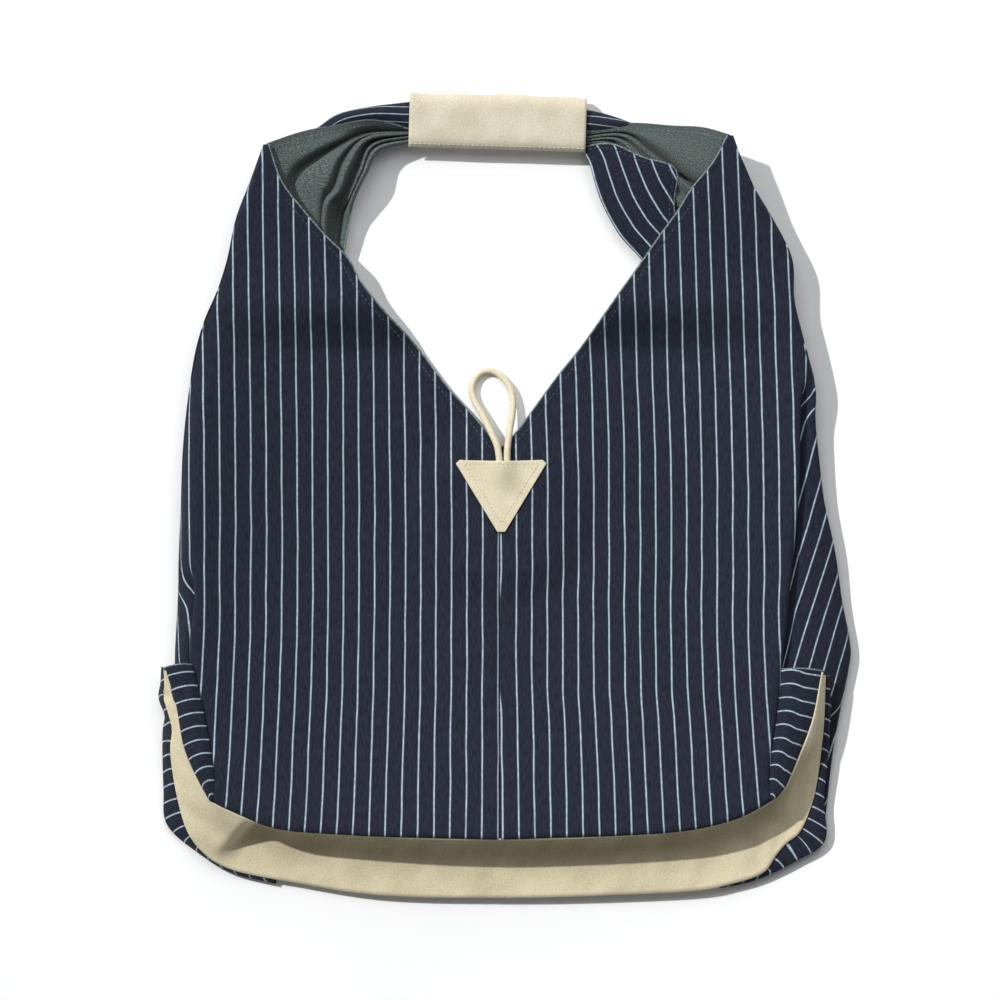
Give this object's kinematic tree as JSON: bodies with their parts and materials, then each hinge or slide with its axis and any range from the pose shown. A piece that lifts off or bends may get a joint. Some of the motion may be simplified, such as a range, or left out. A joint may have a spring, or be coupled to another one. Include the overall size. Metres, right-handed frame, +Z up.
{
  "type": "cloth hand bag",
  "caption": "Pinstriped cotton hand bag with a V mouth, gathered straps in a canvas handle wrap, a canvas base and a cord loop closure.",
  "frame": {"origin": "on the surface that the bag lies on, under the middle of its whole outline", "axes": "+X to the right of the bag's front, +Y from the base towards the handle, +Z up out of the front"},
  "size_m": [0.4153, 0.4803, 0.0348],
  "materials": {
    "striped_cotton": "matt woven cotton, navy with pale pinstripes outside and grey-green inside",
    "canvas": "matt plain-woven unbleached canvas",
    "cord": "matt round woven cotton cord",
    "resin": "satin cast button resin"
  },
  "bodies": {
    "pouch": {"front_left_panel": "striped_cotton", "front_right_panel": "striped_cotton", "back_left_panel": "striped_cotton", "back_right_panel": "striped_cotton", "left_side_fold": "striped_cotton", "right_side_fold": "striped_cotton", "base_panel": "canvas", "front_left_band": "striped_cotton", "front_right_band": "striped_cotton", "back_left_band": "striped_cotton", "back_right_band": "striped_cotton", "front_patch": "canvas", "back_patch": "canvas", "button": "resin", "button_thread": "cord"},
    "handle": {"front_left_shoulder": "striped_cotton", "front_right_shoulder": "striped_cotton", "back_left_shoulder": "striped_cotton", "back_right_shoulder": "striped_cotton", "handle_wrap": "canvas", "left_strap_end": "striped_cotton", "right_strap_end": "striped_cotton"},
    "loop": {"closure_loop": "cord"}
  },
  "joints": [
    {"name": "handle_fold", "type": "hinge", "parent": "pouch", "child": "handle", "pos_m": [0, 0.1295, 0.0225], "axis": [1, 0, 0], "range_deg": [0, 150]},
    {"name": "loop_swing", "type": "hinge", "parent": "pouch", "child": "loop", "pos_m": [-0.0016, 0.0224, 0.0116], "axis": [1, 0, 0], "range_deg": [0, 165]}
  ]
}
